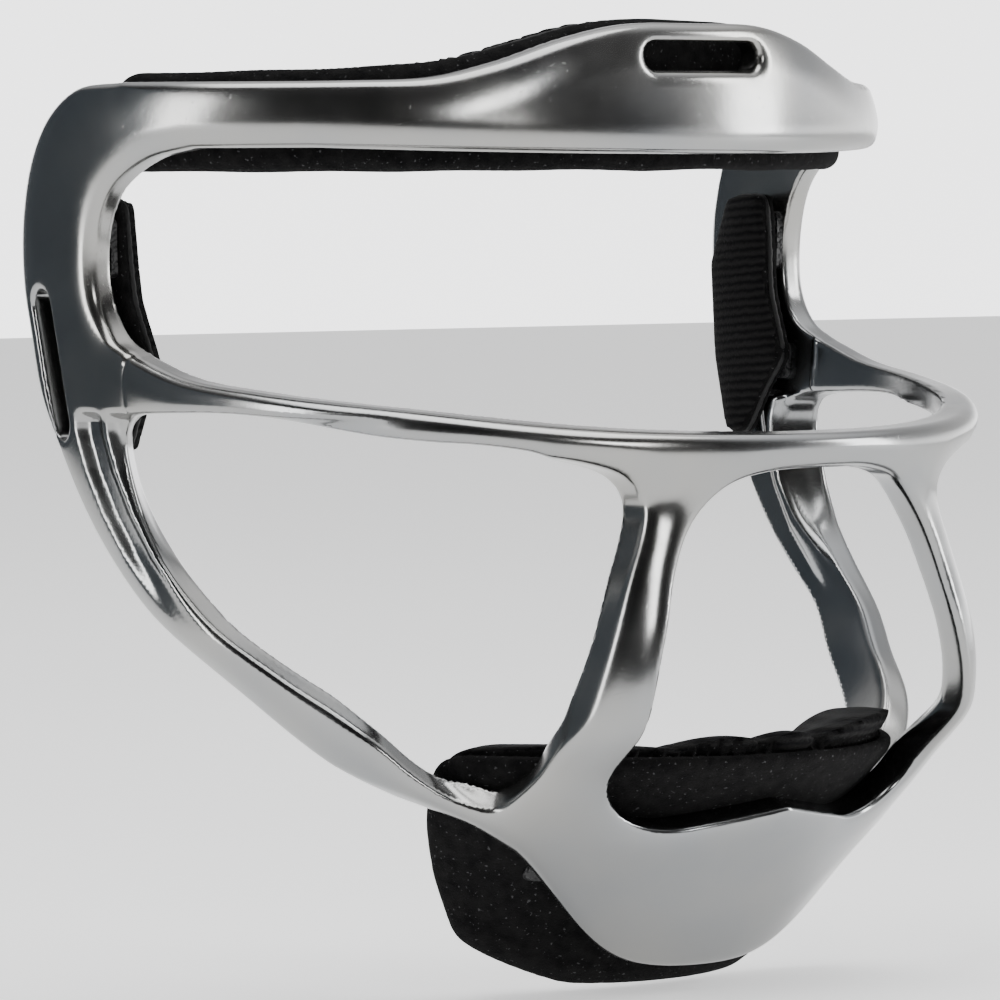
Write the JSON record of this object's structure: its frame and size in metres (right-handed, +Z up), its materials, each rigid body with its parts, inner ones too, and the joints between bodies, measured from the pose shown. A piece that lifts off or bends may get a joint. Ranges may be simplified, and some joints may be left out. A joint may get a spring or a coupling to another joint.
{
  "type": "fielder's face mask",
  "caption": "Softball fielder's face mask: one-piece polished metal frame with eye, cheek and mouth openings, slots for a harness, and pull-off forehead, temple and chin pads.",
  "frame": {"origin": "on the mirror plane, level with the root of the eye bar at the temples, above the line where the eye bar leaves the upright", "axes": "+Z up on the wearer, +Y towards the back of the head, so the wearer looks along -Y; X across, mirror plane at X = 0"},
  "size_m": [0.177, 0.1259, 0.1756],
  "materials": {
    "cast_metal": "polished cast magnesium",
    "hook_tape": "black hook tape",
    "pad_foam": "black closed-cell foam",
    "loop_cloth": "black brushed loop cloth",
    "binding": "black edge binding",
    "lining_knit": "black ribbed wicking knit"
  },
  "bodies": {
    "frame": {"mask_frame": "cast_metal", "hook_strip_forehead_left": "hook_tape", "hook_strip_forehead_centre": "hook_tape", "hook_strip_forehead_right": "hook_tape", "hook_strip_chin_left": "hook_tape", "hook_strip_chin_centre": "hook_tape", "hook_strip_chin_right": "hook_tape", "hook_strip_temple_left_upper": "hook_tape", "hook_strip_temple_left_lower": "hook_tape", "hook_strip_temple_right_upper": "hook_tape", "hook_strip_temple_right_lower": "hook_tape"},
    "forehead_pad": {"forehead_pad_foam": "pad_foam", "forehead_pad_loop_cover": "loop_cloth", "forehead_pad_seam_binding": "binding", "forehead_pad_lining": "lining_knit"},
    "temple_pad_left": {"temple_pad_left_foam": "pad_foam", "temple_pad_left_loop_cover": "loop_cloth", "temple_pad_left_seam_binding": "binding", "temple_pad_left_lining": "lining_knit"},
    "temple_pad_right": {"temple_pad_right_foam": "pad_foam", "temple_pad_right_loop_cover": "loop_cloth", "temple_pad_right_seam_binding": "binding", "temple_pad_right_lining": "lining_knit"},
    "chin_pad": {"chin_pad_foam": "pad_foam", "chin_pad_loop_cover": "loop_cloth", "chin_pad_seam_binding": "binding", "chin_pad_lining": "lining_knit"}
  },
  "joints": [
    {"name": "forehead_pad_pull", "type": "slide", "parent": "frame", "child": "forehead_pad", "axis": [0, 1, 0], "range_m": [0, 0.04]},
    {"name": "temple_pad_left_pull", "type": "slide", "parent": "frame", "child": "temple_pad_left", "axis": [1, 0, 0], "range_m": [0, 0.03]},
    {"name": "temple_pad_right_pull", "type": "slide", "parent": "frame", "child": "temple_pad_right", "axis": [-1, 0, 0], "range_m": [0, 0.03]},
    {"name": "chin_pad_pull", "type": "slide", "parent": "frame", "child": "chin_pad", "axis": [0, 1, 0], "range_m": [0, 0.04]}
  ]
}
